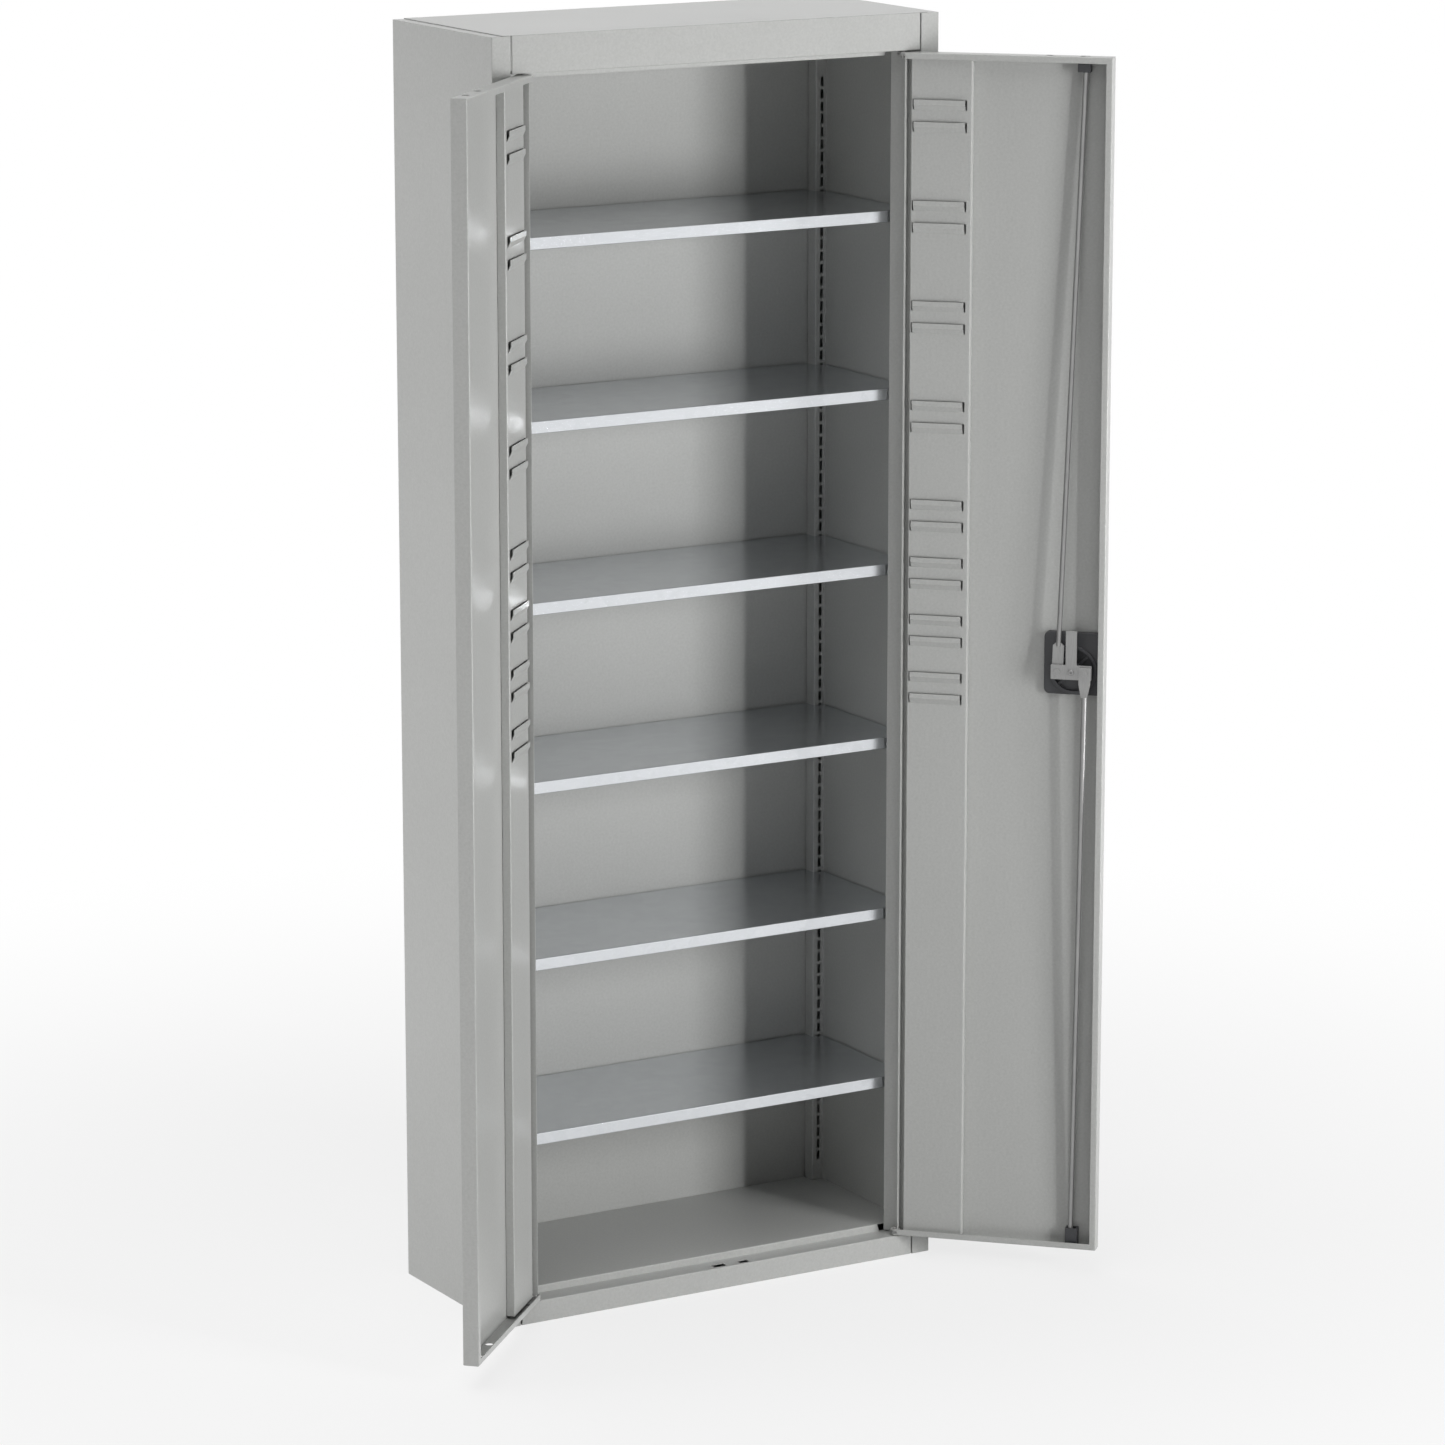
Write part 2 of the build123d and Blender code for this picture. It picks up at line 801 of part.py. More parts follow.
def lock_cam():
    half = cam_bar_length / 2
    edge = cam_bar_width / 2
    neck = cam_tongue_width / 2
    outline = [
        (spindle_u - half, spindle_z - edge),
        (spindle_u + half, spindle_z - edge),
        (spindle_u + half, spindle_z + edge),
        (spindle_u + neck, spindle_z + edge),
        (spindle_u + neck, spindle_z + cam_tongue_reach),
        (spindle_u - neck, spindle_z + cam_tongue_reach),
        (spindle_u - neck, spindle_z + edge),
        (spindle_u - half, spindle_z + edge),
    ]
    face = fillet(make_face(Polyline(*outline, close=True)).vertices(), cam_round)
    back_plane = Plane(origin=(0, cam_far, 0), x_dir=(1, 0, 0), z_dir=(0, -1, 0))
    cam = extrude(back_plane * face, cam_sheet, dir=(0, -1, 0))
    hole = spindle_square / 2 + fit
    cam -= block(
        (spindle_u - hole, cam_near - overrun, spindle_z - hole),
        (spindle_u + hole, cam_far + overrun, spindle_z + hole),
    )
    for pin_u in (upper_pin_u, lower_pin_u):
        cam -= rod_pin_bore(pin_u, cam_near, cam_far)
    return cam


def rod_pin(pin_u, near, far):
    # a headed pin that holds one rod end on the cam
    shank = across(rod_pin_diameter, pin_u, spindle_z, near, far)
    near_head = across(rod_pin_head, pin_u, spindle_z, near - rod_pin_head_height, near)
    far_head = across(rod_pin_head, pin_u, spindle_z, far, far + rod_pin_head_height)
    return shank + near_head + far_head


def cam_rod_pins():
    stack = rod_end_sheet + 2 * rod_pin_spare
    upper = rod_pin(upper_pin_u, cam_near - stack, cam_far)
    lower = rod_pin(lower_pin_u, cam_near, cam_far + stack)
    return Compound(children=[upper, lower])


def cam_screw():
    end = cam_far - screw_length + rod_pin_spare
    shank = across(screw_diameter, spindle_u, spindle_z, end, cam_far)
    head = across(screw_head_diameter, spindle_u, spindle_z, cam_far, cam_far + screw_head_height)
    rim = [edge for edge in head.edges() if edge.center().Y > cam_far + screw_head_height - fit]
    head = fillet(rim, edge_round)
    socket = Plane(
        origin=(spindle_u, cam_far + screw_head_height - screw_socket_depth, spindle_z),
        x_dir=(1, 0, 0),
        z_dir=(0, 1, 0),
    ) * RegularPolygon(screw_socket / 2, 6, major_radius=False)
    return shank + head - extrude(socket, screw_socket_depth + overrun, dir=(0, 1, 0))


def rod_end(end_width, end_length, taper, middle_v, pin_u, upward):
    # a flat end about the pin, drawn as if it pointed straight up or down
    half = end_width / 2
    neck = rod_diameter / 2
    shoulder = end_length - taper
    outline = [
        (pin_u - half, spindle_z - upward * rod_end_below),
        (pin_u + half, spindle_z - upward * rod_end_below),
        (pin_u + half, spindle_z + upward * shoulder),
        (pin_u + neck, spindle_z + upward * end_length),
        (pin_u - neck, spindle_z + upward * end_length),
        (pin_u - half, spindle_z + upward * shoulder),
    ]
    face = make_face(Polyline(*outline, close=True))
    corners = [corner for corner in face.vertices() if upward * (corner.Y - spindle_z) < 0]
    face = fillet(corners, cam_round)
    far_plane = Plane(origin=(0, middle_v + rod_end_sheet / 2, 0), x_dir=(1, 0, 0), z_dir=(0, -1, 0))
    return extrude(far_plane * face, rod_end_sheet, dir=(0, -1, 0))


def rod(end_width, end_length, taper, middle_v, pin_u, upward):
    # the rod leans from its pin on the cam to its guide at the end of the door
    tip_z = door_high if upward > 0 else door_low
    guide_height = guide_top_height if upward > 0 else guide_bottom_height
    guide_z = tip_z - upward * (sheet + guide_height / 2)
    lean = (guide_u - pin_u) / (guide_z - spindle_z)
    tip = Vector(pin_u + lean * (tip_z - spindle_z), -rod_tip_set, tip_z)
    start_z = spindle_z + upward * (end_length - rod_lap)
    start = Vector(pin_u + lean * (start_z - spindle_z), middle_v, start_z)
    run = tip - start
    axis = Plane(origin=start, z_dir=run)
    bar = axis * rod_of(rod_diameter, run.length)
    bar = chamfer(bar.faces().sort_by(Axis.Z)[-1 if upward > 0 else 0].edges(), rod_tip_chamfer)
    flat_end = rod_end(end_width, end_length, taper, middle_v, pin_u, upward)
    flat_end = flat_end.rotate(Axis((pin_u, 0, spindle_z), (0, 1, 0)), lean_angle(lean))
    return bar + flat_end - rod_pin_bore(pin_u, middle_v, middle_v)


def lean_angle(slope):
    # the angle in degrees of a rod that leans by this slope
    return Vector(0, 0, 1).get_angle(Vector(slope, 0, 1)) * (1 if slope > 0 else -1)


def lock_plug():
    end = knob_far + plug_length
    plug = across(plug_diameter, spindle_u, spindle_z, knob_far - plug_proud, end - fit)
    slot_half = key_slot_length / 2
    slot_side = key_slot_width / 2
    return plug - block(
        (spindle_u - slot_side, knob_far - plug_proud - overrun, spindle_z - slot_half),
        (spindle_u + slot_side, knob_far - plug_proud + key_slot_depth, spindle_z + slot_half),
    )


def hung_left(shape):
    return Pos(-pin_x, pin_y, 0) * Rotation(0, 0, -open_angle) * shape


def hung_right(shape):
    return Pos(pin_x, pin_y, 0) * Rotation(0, 0, open_angle) * mirror(shape, about=Plane.YZ)


def save_pair(name, shape):
    save(f"{name}_right", shape)
    save(f"{name}_left", mirror(shape, about=Plane.YZ))


save_pair("side_panel", side_panel())
save_pair("inner_wall", inner_wall())
save("back_panel", back_panel())
save("top_panel", top_panel())
save("floor_panel", floor_panel())

shelf_tops = [shelf_top(number) for number in range(shelf_count)]
for number, top in enumerate(shelf_tops, start=1):
    save(f"shelf_{number}", shelf(top))
save("shelf_clips", shelf_clips(shelf_tops))
save("hinge_pins", hinge_pins())
save("hinge_washers", hinge_washers())

save("left_door_panel", hung_left(door_tray()))
save("right_door_panel", hung_right(right_tray()))
door_stiffener = stiffener()
save("left_door_stiffener", hung_left(door_stiffener))
save("right_door_stiffener", hung_right(door_stiffener))
save("left_pivot_plates", hung_left(pivot_plates()))
save("right_pivot_plates", hung_right(pivot_plates()))
save("left_pivot_bushes", hung_left(pivot_bushes()))
save("right_pivot_bushes", hung_right(pivot_bushes()))

save("lock_housing", hung_right(lock_housing()))
save("lock_rose", hung_right(lock_rose()))
top_guide = rod_guide(door_high - sheet - guide_top_height, door_high - sheet, -1)
bottom_guide = rod_guide(door_low + sheet, door_low + sheet + guide_bottom_height, 1)
save("rod_guide_top", hung_right(top_guide))
save("rod_guide_bottom", hung_right(bottom_guide))

save("handle_knob", hung_right(handle_knob()))
save("lock_spindle", hung_right(lock_spindle()))
save("lock_cam", hung_right(lock_cam()))
save("cam_rod_pins", hung_right(cam_rod_pins()))
save("cam_screw", hung_right(cam_screw()))
save("lock_plug", hung_right(lock_plug()))

upper = rod(upper_end_width, upper_end_length, upper_end_taper, upper_end_v, upper_pin_u, 1)
lower = rod(lower_end_width, lower_end_length, lower_end_taper, lower_end_v, lower_pin_u, -1)
save("upper_rod", hung_right(upper))
save("lower_rod", hung_right(lower))
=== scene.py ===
import json
import math
import bmesh
import bpy
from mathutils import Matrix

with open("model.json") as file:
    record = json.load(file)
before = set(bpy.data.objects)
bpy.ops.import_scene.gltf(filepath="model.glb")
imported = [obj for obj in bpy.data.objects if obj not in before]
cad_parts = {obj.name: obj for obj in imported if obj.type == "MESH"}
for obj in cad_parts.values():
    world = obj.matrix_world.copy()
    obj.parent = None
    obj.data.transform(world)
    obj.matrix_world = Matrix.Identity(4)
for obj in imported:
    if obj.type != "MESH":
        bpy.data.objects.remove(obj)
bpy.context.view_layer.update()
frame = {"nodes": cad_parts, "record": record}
nodes = frame["nodes"]
print("frame loaded:", len(nodes), "nodes")

quarterTurn = 90.0        # degrees

# camera: the photograph's standpoint, tipped down a little instead of shifted
cameraFacts = {
    "place": (-3.7584, -6.4423, 2.4652),
    "turn": 30.33,        # degrees to the right of straight ahead
    "tip": 12.6,          # degrees down
    "lens": 141.0,
    "sensor": 36.0,
    "clip": (0.1, 100.0),
}


def makeCamera(facts):
    data = bpy.data.cameras.new("camera")
    data.lens = facts["lens"]
    data.sensor_width = facts["sensor"]
    data.clip_start, data.clip_end = facts["clip"]
    camera = bpy.data.objects.new("camera", data)
    camera.location = facts["place"]
    tilt = math.radians(quarterTurn - facts["tip"])
    camera.rotation_euler = (tilt, 0, math.radians(-facts["turn"]))
    bpy.context.scene.collection.objects.link(camera)
    bpy.context.scene.camera = camera


makeCamera(cameraFacts)
bpy.context.scene.view_settings.view_transform = "Standard"
print("camera made")


# small helpers for building node trees
def addNode(tree, kind, place=(0, 0), **values):
    node = tree.nodes.new(kind)
    node.location = place
    for name, value in values.items():
        setattr(node, name, value)
    return node


def setInputs(node, **values):
    # an underscore in a name stands for the space in the socket's name
    for name, value in values.items():
        node.inputs[name.replace("_", " ")].default_value = value


def feed(tree, socket, value):
    # another node's output is linked, and a number or colour becomes the socket's own value
    if hasattr(value, "is_linked"):
        tree.links.new(value, socket)
    else:
        socket.default_value = value


def newGroup(name, inputs, outputs):
    # all sockets hold plain numbers, and each material sets the inputs to its own
    group = bpy.data.node_groups.new(name, "ShaderNodeTree")
    for direction, labels in (("INPUT", inputs), ("OUTPUT", outputs)):
        for label in labels:
            group.interface.new_socket(label, in_out=direction, socket_type="NodeSocketFloat")
    start = addNode(group, "NodeGroupInput", (-900, 0))
    end = addNode(group, "NodeGroupOutput", (900, 0))
    return group, start, end


def mathNode(tree, operation, first, second, place=(0, 0), clamp=False):
    node = addNode(tree, "ShaderNodeMath", place, operation=operation, use_clamp=clamp)
    for socket, value in zip(node.inputs, (first, second)):
        feed(tree, socket, value)
    return node.outputs["Value"]


def mapRange(tree, value, place, kind="LINEAR", **ends):
    node = addNode(tree, "ShaderNodeMapRange", place, interpolation_type=kind)
    setInputs(node, **ends)
    tree.links.new(value, node.inputs["Value"])
    return node.outputs["Result"]


def mixColours(tree, factor, first, second, place=(0, 0)):
    # a Mix node repeats its sockets' names for each kind of value, so these go by number
    factorIndex, firstIndex, secondIndex, resultIndex = 0, 6, 7, 2
    node = addNode(tree, "ShaderNodeMix", place, data_type="RGBA")
    feed(tree, node.inputs[factorIndex], factor)
    feed(tree, node.inputs[firstIndex], first)
    feed(tree, node.inputs[secondIndex], second)
    return node.outputs[resultIndex]


def mixShaders(tree, factor, first, second, place=(0, 0)):
    node = addNode(tree, "ShaderNodeMixShader", place)
    for socket, value in zip(node.inputs, (factor, first, second)):
        tree.links.new(value, socket)
    return node.outputs["Shader"]


def objectCoordinates(tree, place=(-1200, 0)):
    return addNode(tree, "ShaderNodeTexCoord", place).outputs["Object"]


def seenOrMirrored(tree):
    # 1 for a ray from the camera, off a mirror or through glass,
    # and 0 for one that lights a surface
    path = addNode(tree, "ShaderNodeLightPath", (-600, 300))
    camera, glossy = path.outputs["Is Camera Ray"], path.outputs["Is Glossy Ray"]
    seen = mathNode(tree, "MAXIMUM", camera, glossy, (-400, 300))
    return mathNode(tree, "MAXIMUM", seen, path.outputs["Is Transmission Ray"], (-200, 300))


# shared effects
bevelSamples = 4
grainFacts = {
    "Grain": {"Detail": 2.0, "Roughness": 0.55},
    "Drift": {"Detail": 3.0, "Roughness": 0.5},
    "Speck": {"Detail": 1.0, "Roughness": 0.7},
    "speckShare": 0.37,       # the scale of the specks as a share of the grain's
}


def makeEdgeGroup():
    # 1 at a convex or concave edge and 0 on a flat:
    # the rounded normal is held against the plain one
    group, start, end = newGroup("edgeMask", ["Radius", "Gain"], ["Mask"])
    rounded = addNode(group, "ShaderNodeBevel", (-600, 100), samples=bevelSamples)
    plain = addNode(group, "ShaderNodeNewGeometry", (-600, -150))
    group.links.new(start.outputs["Radius"], rounded.inputs["Radius"])
    likeness = addNode(group, "ShaderNodeVectorMath", (-350, 0), operation="DOT_PRODUCT")
    for socket, source in zip(likeness.inputs, (rounded, plain)):
        group.links.new(source.outputs["Normal"], socket)
    bend = mathNode(group, "SUBTRACT", 1.0, likeness.outputs["Value"], (-100, 0))
    mask = mathNode(group, "MULTIPLY", bend, start.outputs["Gain"], (150, 0), clamp=True)
    group.links.new(mask, end.inputs["Mask"])
    return group


def makeGrainGroup(facts):
    # fine grain, such as orange peel or moulded texture, coarser specks and a slow drift
    group, start, end = newGroup(
        "fineGrain", ["Grain Scale", "Drift Scale"], ["Grain", "Drift", "Speck"]
    )
    vector = objectCoordinates(group)
    grainScale, driftScale = start.outputs["Grain Scale"], start.outputs["Drift Scale"]
    speckScale = mathNode(group, "MULTIPLY", grainScale, facts["speckShare"], (-850, -300))
    for label, scale, place in (
        ("Grain", grainScale, (-600, 200)),
        ("Drift", driftScale, (-600, -50)),
        ("Speck", speckScale, (-600, -300)),
    ):
        noise = addNode(group, "ShaderNodeTexNoise", place)
        setInputs(noise, **facts[label])
        group.links.new(vector, noise.inputs["Vector"])
        group.links.new(scale, noise.inputs["Scale"])
        group.links.new(noise.outputs["Fac"], end.inputs[label])
    return group


edgeGroup = makeEdgeGroup()
grainGroup = makeGrainGroup(grainFacts)


def useGroup(tree, group, place, **values):
    node = addNode(tree, "ShaderNodeGroup", place, node_tree=group)
    setInputs(node, **values)
    return node


def useGrain(tree, facts):
    scales = {"Grain_Scale": facts["grainScale"], "Drift_Scale": facts["driftScale"]}
    return useGroup(tree, grainGroup, (-900, 0), **scales)


def useEdge(tree, facts):
    radius, gain = facts["edgeRadius"], facts["edgeGain"]
    return useGroup(tree, edgeGroup, (-900, -300), Radius=radius, Gain=gain)


# what all the materials share
noiseLow, noiseHigh = 0.2, 0.8       # nearly all of a noise lies between these


def newMaterial(name):
    material = bpy.data.materials.new(name)
    material.use_nodes = True
    tree = material.node_tree
    shader = tree.nodes["Principled BSDF"]
    return material, tree, shader


def spread(tree, noise, low, high, place):
    ends = {"From_Min": noiseLow, "From_Max": noiseHigh, "To_Min": low, "To_Max": high}
    return mapRange(tree, noise, place, **ends)


def setSurface(tree, shader, colour, roughness, height, facts):
    # only a material with an edge radius has its edges rounded
    tree.links.new(colour, shader.inputs["Base Color"])
    tree.links.new(roughness, shader.inputs["Roughness"])
    setInputs(shader, Metallic=facts["metallic"])
    bump = addNode(tree, "ShaderNodeBump", (-250, -400))
    setInputs(bump, Strength=1.0, Distance=facts["grainBump"])
    tree.links.new(height, bump.inputs["Height"])
    if "edgeRadius" in facts:
        rounded = addNode(tree, "ShaderNodeBevel", (-500, -500), samples=bevelSamples)
        setInputs(rounded, Radius=facts["edgeRadius"])
        tree.links.new(rounded.outputs["Normal"], bump.inputs["Normal"])
    tree.links.new(bump.outputs["Normal"], shader.inputs["Normal"])


# powder coat on the carcass and the doors
coatFacts = {
    "colour": (0.508, 0.513, 0.501, 1),
    "shade": (0.413, 0.418, 0.407, 1),
    # lighter edge colour: partly wear, partly a painted highlight along the edges
    "edge": (0.56, 0.565, 0.55, 1),
    "metallic": 0.0,
    "roughness": (0.278, 0.32),     # stays above 0.274, at which the denoiser would draw a line
    "drift": (0.30, 0.70),
    "speck": 0.30,
    "grainScale": 800.0,
    "driftScale": 2.5,
    "grainBump": 0.00005,
    "edgeRadius": 0.0005,
    "edgeGain": 2.5,
}


def makeCoat(name, facts):
    material, tree, shader = newMaterial(name)
    grain = useGrain(tree, facts)
    edge = useEdge(tree, facts)
    drift = spread(tree, grain.outputs["Drift"], *facts["drift"], (-650, 100))
    speck = spread(tree, grain.outputs["Speck"], -facts["speck"], facts["speck"], (-650, -100))
    mixed = mathNode(tree, "ADD", drift, speck, (-450, 0), clamp=True)
    body = mixColours(tree, mixed, facts["colour"], facts["shade"], (-250, 100))
    # edges painted lighter, varied by the drift: partly wear, partly a painted highlight
    wearAndHighlight = mathNode(tree, "MULTIPLY", edge.outputs["Mask"], drift, (-450, -300))
    colour = mixColours(tree, wearAndHighlight, body, facts["edge"], (0, 100))
    roughness = spread(tree, grain.outputs["Drift"], *facts["roughness"], (-250, -150))
    setSurface(tree, shader, colour, roughness, grain.outputs["Grain"], facts)
    return material


# galvanised sheet of the shelves: soft spangles in roughness and tone
zincSheetFacts = {
    "colour": (0.70, 0.72, 0.745, 1),
    "shade": (0.63, 0.65, 0.675, 1),
    "metallic": 0.93,
    "roughness": (0.18, 0.26),
    "spangleScale": 60.0,
    "spangleTone": 0.45,     # how far a spangle takes the colour to the shade
    "speckTone": 0.55,       # the same for the specks
    "grainScale": 1100.0,
    "driftScale": 5.0,
    "grainBump": 0.00004,
}


def makeZincSheet(name, facts):
    material, tree, shader = newMaterial(name)
    grain = useGrain(tree, facts)
    cells = addNode(tree, "ShaderNodeTexVoronoi", (-900, 300))
    setInputs(cells, Scale=facts["spangleScale"])
    tree.links.new(objectCoordinates(tree), cells.inputs["Vector"])
    cellTone = addNode(tree, "ShaderNodeSeparateColor", (-700, 300))
    tree.links.new(cells.outputs["Color"], cellTone.inputs["Color"])
    spangle = cellTone.outputs["Red"]
    tone = mathNode(tree, "MULTIPLY", spangle, facts["spangleTone"], (-500, 300))
    speck = spread(tree, grain.outputs["Speck"], 0.0, facts["speckTone"], (-650, 0))
    mixed = mathNode(tree, "ADD", tone, speck, (-300, 200), clamp=True)
    colour = mixColours(tree, mixed, facts["colour"], facts["shade"], (-100, 200))
    low, high = facts["roughness"]
    roughness = mapRange(tree, mixed, (-300, -100), To_Min=low, To_Max=high)
    setSurface(tree, shader, colour, roughness, grain.outputs["Grain"], facts)
    return material


# plated small parts and turned pins: fine streaks along one axis, brighter edges that are
# partly rubbed wear and partly a painted highlight
platedFacts = {
    "colour": (0.36, 0.36, 0.355, 1),
    "shade": (0.27, 0.27, 0.27, 1),
    # brighter edge colour: partly rubbed wear, partly a painted highlight
    "edge": (0.50, 0.50, 0.49, 1),
    "metallic": 0.80,
    "roughness": (0.38, 0.50),
    "stretch": (900.0, 900.0, 60.0),
    "streakDetail": 3.0,
    "streakTone": 0.7,       # how far a streak takes the colour to the shade
    "driftTone": 0.5,        # the same for the drift
    "grainScale": 800.0,
    "driftScale": 25.0,
    "grainBump": 0.00003,
    "edgeRadius": 0.0006,
    "edgeGain": 4.0,
}
turnedFacts = dict(
    platedFacts,
    colour=(0.47, 0.46, 0.45, 1),
    shade=(0.36, 0.355, 0.35, 1),
    stretch=(60.0, 60.0, 1500.0),
)
nickelFacts = dict(
    platedFacts,
    colour=(0.66, 0.64, 0.60, 1),
    shade=(0.58, 0.56, 0.52, 1),
    metallic=1.0,
    roughness=(0.14, 0.26),
)


def makePlated(name, facts):
    material, tree, shader = newMaterial(name)
    grain = useGrain(tree, facts)
    edge = useEdge(tree, facts)
    mapping = addNode(tree, "ShaderNodeMapping", (-1000, 400))
    setInputs(mapping, Scale=facts["stretch"])
    tree.links.new(objectCoordinates(tree), mapping.inputs["Vector"])
    streak = addNode(tree, "ShaderNodeTexNoise", (-800, 400))
    setInputs(streak, Scale=1.0, Detail=facts["streakDetail"])
    tree.links.new(mapping.outputs["Vector"], streak.inputs["Vector"])
    tone = spread(tree, streak.outputs["Fac"], 0.0, facts["streakTone"], (-600, 400))
    drift = spread(tree, grain.outputs["Drift"], 0.0, facts["driftTone"], (-600, 150))
    mixed = mathNode(tree, "ADD", tone, drift, (-400, 300), clamp=True)
    body = mixColours(tree, mixed, facts["colour"], facts["shade"], (-200, 300))
    # edges painted brighter: partly rubbed wear, partly a painted highlight
    colour = mixColours(tree, edge.outputs["Mask"], body, facts["edge"], (0, 200))
    low, high = facts["roughness"]
    roughness = mapRange(tree, mixed, (-200, 0), To_Min=low, To_Max=high)
    setSurface(tree, shader, colour, roughness, streak.outputs["Fac"], facts)
    return material


# moulded plastic: a fine spark texture, paler along the edges as a painted highlight
blackFacts = {
    "colour": (0.030, 0.031, 0.034, 1),
    "shade": (0.045, 0.046, 0.050, 1),
    # the pale edge colour is a painted highlight along the edges
    "edge": (0.17, 0.17, 0.175, 1),
    "metallic": 0.0,
    "roughness": (0.38, 0.55),
    "drift": (0.25, 0.75),
    "speck": 0.25,
    "grainScale": 1400.0,
    "driftScale": 18.0,
    "grainBump": 0.00006,
    "edgeRadius": 0.0009,
    "edgeGain": 5.0,
}
handleFacts = dict(blackFacts, roughness=(0.28, 0.38), grainBump=0.00002)
whiteFacts = dict(
    blackFacts,
    colour=(0.72, 0.72, 0.70, 1),
    shade=(0.64, 0.64, 0.62, 1),
    edge=(0.80, 0.80, 0.78, 1),
)

finishOf = {
    "grey_paint": makeCoat("powderCoat", coatFacts),
    "zinc_sheet": makeZincSheet("zincSheet", zincSheetFacts),
    "zinc_plate": makePlated("zincPlate", platedFacts),
    "pin_steel": makePlated("turnedSteel", turnedFacts),
    "bright_nickel": makePlated("nickelPlug", nickelFacts),
    "black_plastic": makeCoat("mouldedBlack", blackFacts),
    "black_handle": makeCoat("handleBlack", handleFacts),
    "white_plastic": makeCoat("whiteBush", whiteFacts),
}
print("materials made")


def dressNodes():
    for part in frame["record"]["subparts"]:
        mesh = nodes[part["node"]].data
        mesh.materials.clear()
        mesh.materials.append(finishOf[part["material_slot"]])


dressNodes()
print("nodes dressed")

# the pale floor, seen as white but for a faint shadow near the cupboard
floorFacts = {
    "half": 30.0,            # metres from the middle to a side
    "colour": (0.68, 0.68, 0.68, 1),
    "nearShare": 0.75,       # how much of the floor near the object is seen as plain white
    "nearReach": 0.7,        # metres from the middle
    "farReach": 2.6,         # from here on the floor is seen all white
    "footLow": (-0.335, 0.0),     # under the cupboard nothing is white
    "footHigh": (0.335, 0.262),
}


def underCupboard(tree, place, facts):
    # 1 between footLow and footHigh and 0 elsewhere
    axes = addNode(tree, "ShaderNodeSeparateXYZ", (-900, -300))
    tree.links.new(place, axes.inputs["Vector"])
    under = 1.0
    for axis, low, high in zip(("X", "Y"), facts["footLow"], facts["footHigh"]):
        past = mathNode(tree, "GREATER_THAN", axes.outputs[axis], low, (-700, -300))
        short = mathNode(tree, "LESS_THAN", axes.outputs[axis], high, (-700, -450))
        inside = mathNode(tree, "MULTIPLY", past, short, (-500, -350))
        under = mathNode(tree, "MULTIPLY", inside, under, (-300, -350))
    return under


def makePaleFloor(facts):
    material = bpy.data.materials.new("paleFloor")
    material.use_nodes = True
    tree = material.node_tree
    tree.nodes.clear()
    matt = addNode(tree, "ShaderNodeBsdfDiffuse", (0, 0))
    setInputs(matt, Color=facts["colour"])
    white = addNode(tree, "ShaderNodeEmission", (0, -200))
    place = objectCoordinates(tree)
    away = addNode(tree, "ShaderNodeVectorMath", (-900, 0), operation="LENGTH")
    tree.links.new(place, away.inputs[0])
    near, far = facts["nearReach"], facts["farReach"]
    ends = {"From_Min": near, "From_Max": far, "To_Min": facts["nearShare"]}
    fade = mapRange(tree, away.outputs["Value"], (-700, 0), "SMOOTHSTEP", **ends)
    under = underCupboard(tree, place, facts)
    clear = mathNode(tree, "SUBTRACT", fade, under, (-100, -200), clamp=True)
    share = mathNode(tree, "MULTIPLY", seenOrMirrored(tree), clear, (0, 300))
    both = mixShaders(tree, share, matt.outputs["BSDF"], white.outputs["Emission"], (300, 0))
    output = addNode(tree, "ShaderNodeOutputMaterial", (600, 0))
    tree.links.new(both, output.inputs["Surface"])
    return material


def makeFloor(facts):
    mesh = bpy.data.meshes.new("floor")
    sheet = bmesh.new()
    bmesh.ops.create_grid(sheet, x_segments=1, y_segments=1, size=facts["half"])
    sheet.to_mesh(mesh)
    sheet.free()
    mesh.materials.append(makePaleFloor(facts))
    floor = bpy.data.objects.new("floor", mesh)
    bpy.context.scene.collection.objects.link(floor)


makeFloor(floorFacts)
print("floor made")

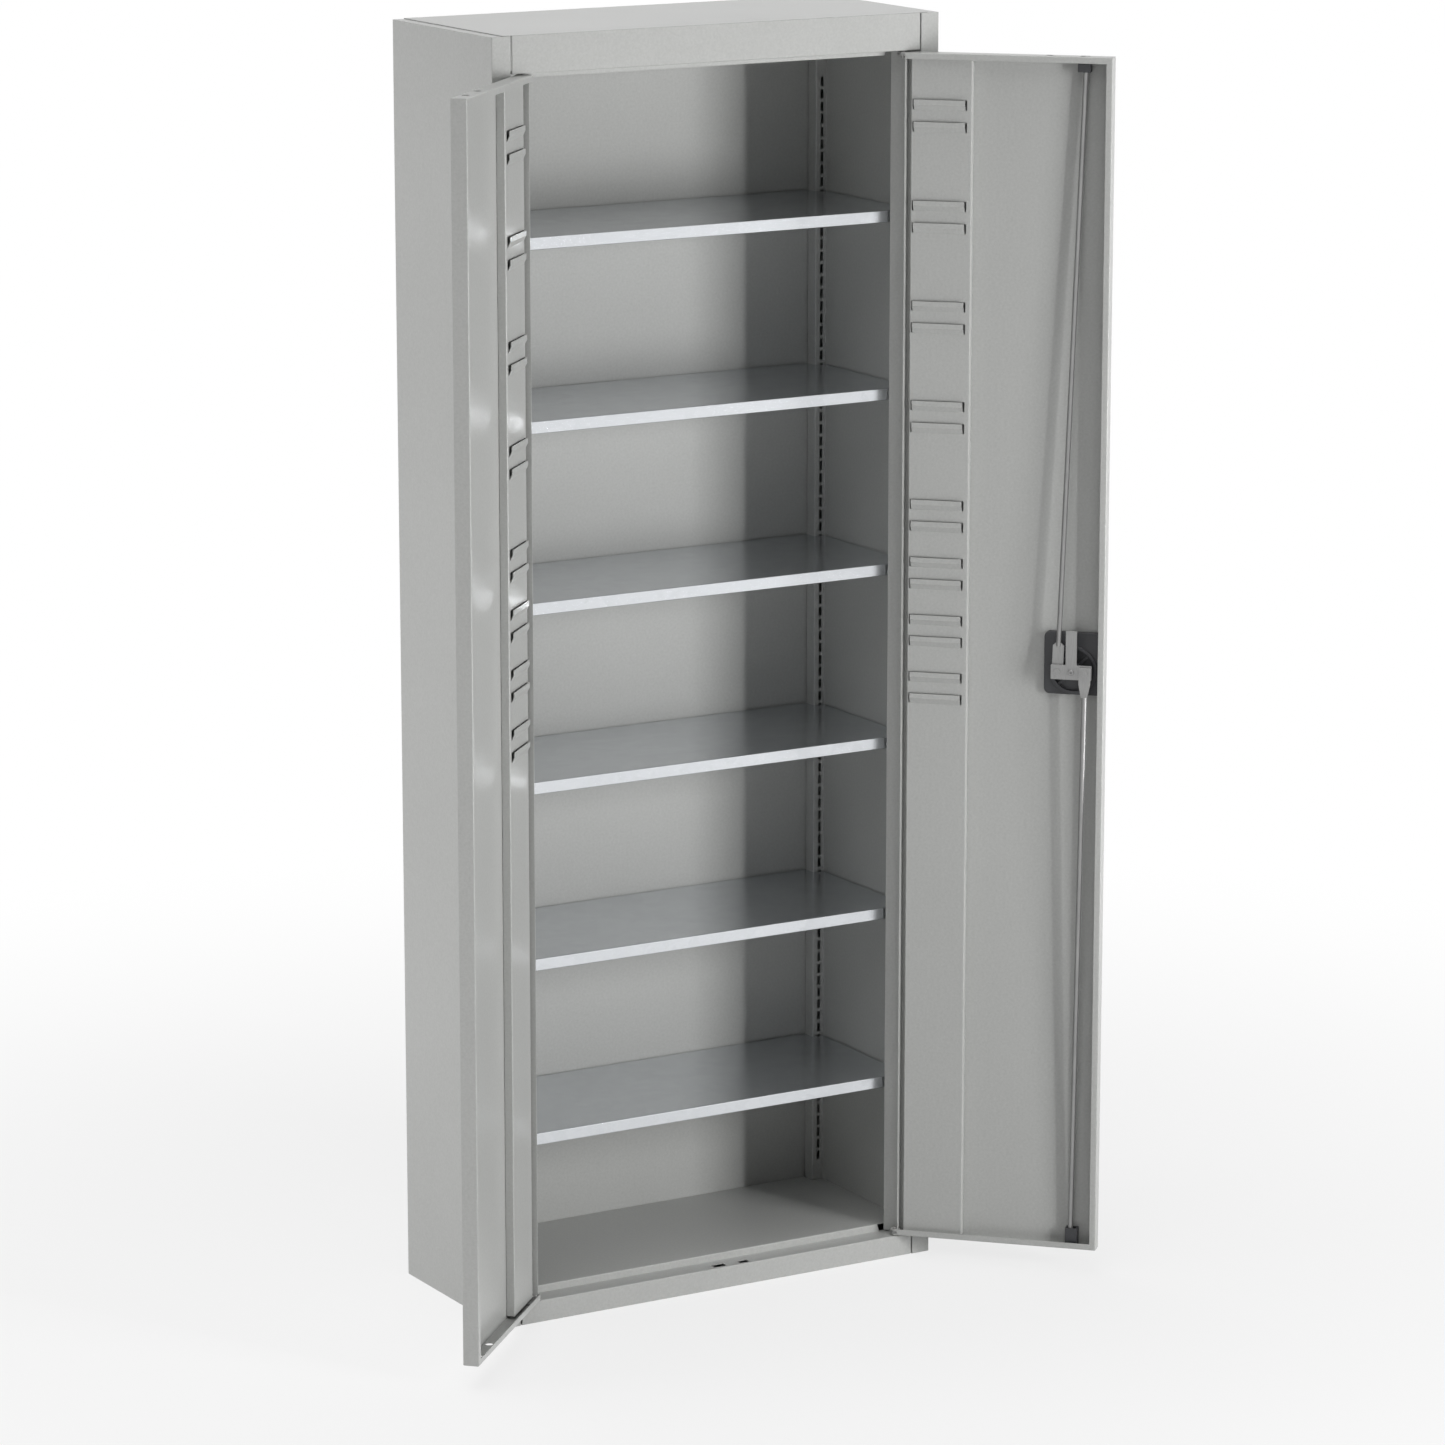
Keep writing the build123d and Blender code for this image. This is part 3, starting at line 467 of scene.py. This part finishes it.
# light: a pale sky, soft lamps and two wide suns
skyFacts = {"colour": (1, 1, 1, 1), "seen": 1.0, "ambient": 0.02}
lampFacts = {
    "narrow": {
        "place": (1.40, -3.75, 1.35),
        "aim": (0.1, 0.1, 0.95),
        "size": (0.12, 1.7),
        "watts": 36.0,
        "mirrored": False,
        "lights": True,
    },
    "broad": {
        "place": (1.88, -3.53, 1.2),
        "aim": (0.1, 0.1, 0.9),
        "size": (0.98, 2.0),
        "watts": 80.0,
        "mirrored": False,
        "lights": True,
    },
    "side": {
        "place": (-3.6, 1.1, 0.75),
        "aim": (-0.3, 0.1, 0.7),
        "size": (1.6, 1.5),
        "watts": 45.0,
        "mirrored": False,
        "lights": True,
    },
    # only the mirror image of this one shows, on the shelf fronts and in the left door
    "strip": {
        "place": (2.52, -1.54, 0.65),
        "aim": (-0.16, 0.0, 0.65),
        "size": (0.15, 1.3),
        "watts": 60.0,
        "mirrored": True,
        "lights": False,
    },
}
sunFacts = {
    "overhead": {"strength": 1.5, "angle": 45.0, "tilt": (-12.0, -8.0)},
    "front": {"strength": 0.65, "angle": 45.0, "tilt": (28.0, -22.0)},
}


def makeSky(facts):
    # white where it is seen or mirrored, a low even fill elsewhere
    world = bpy.data.worlds.new("studio")
    world.use_nodes = True
    tree = world.node_tree
    tree.nodes.clear()
    fill = addNode(tree, "ShaderNodeBackground", (0, 0))
    setInputs(fill, Color=facts["colour"], Strength=facts["ambient"])
    white = addNode(tree, "ShaderNodeBackground", (0, -200))
    setInputs(white, Color=facts["colour"], Strength=facts["seen"])
    layers = (fill.outputs["Background"], white.outputs["Background"])
    both = mixShaders(tree, seenOrMirrored(tree), *layers, (300, 0))
    output = addNode(tree, "ShaderNodeOutputWorld", (600, 0))
    tree.links.new(both, output.inputs["Surface"])
    bpy.context.scene.world = world


def makeSoftbox(name, facts):
    data = bpy.data.lights.new(name, "AREA")
    data.shape = "RECTANGLE"
    data.size, data.size_y = facts["size"]
    data.energy = facts["watts"]
    lamp = bpy.data.objects.new(name, data)
    lamp.location = facts["place"]
    away = [to - start for start, to in zip(facts["place"], facts["aim"])]
    tip = math.atan2(away[2], math.hypot(away[0], away[1]))
    turn = math.atan2(away[1], away[0])
    lamp.rotation_euler = (math.radians(quarterTurn) + tip, 0, turn - math.radians(quarterTurn))
    lamp.visible_camera = False
    lamp.visible_glossy = facts["mirrored"]
    lamp.visible_diffuse = facts["lights"]
    bpy.context.scene.collection.objects.link(lamp)


def makeSun(name, facts):
    data = bpy.data.lights.new(name, "SUN")
    data.energy = facts["strength"]
    data.angle = math.radians(facts["angle"])
    lamp = bpy.data.objects.new(name, data)
    lamp.rotation_euler = [math.radians(turn) for turn in facts["tilt"]] + [0]
    bpy.context.scene.collection.objects.link(lamp)


makeSky(skyFacts)
for lampName, lampValues in lampFacts.items():
    makeSoftbox(lampName, lampValues)
for sunName, sunValues in sunFacts.items():
    makeSun(sunName, sunValues)
print("light made")
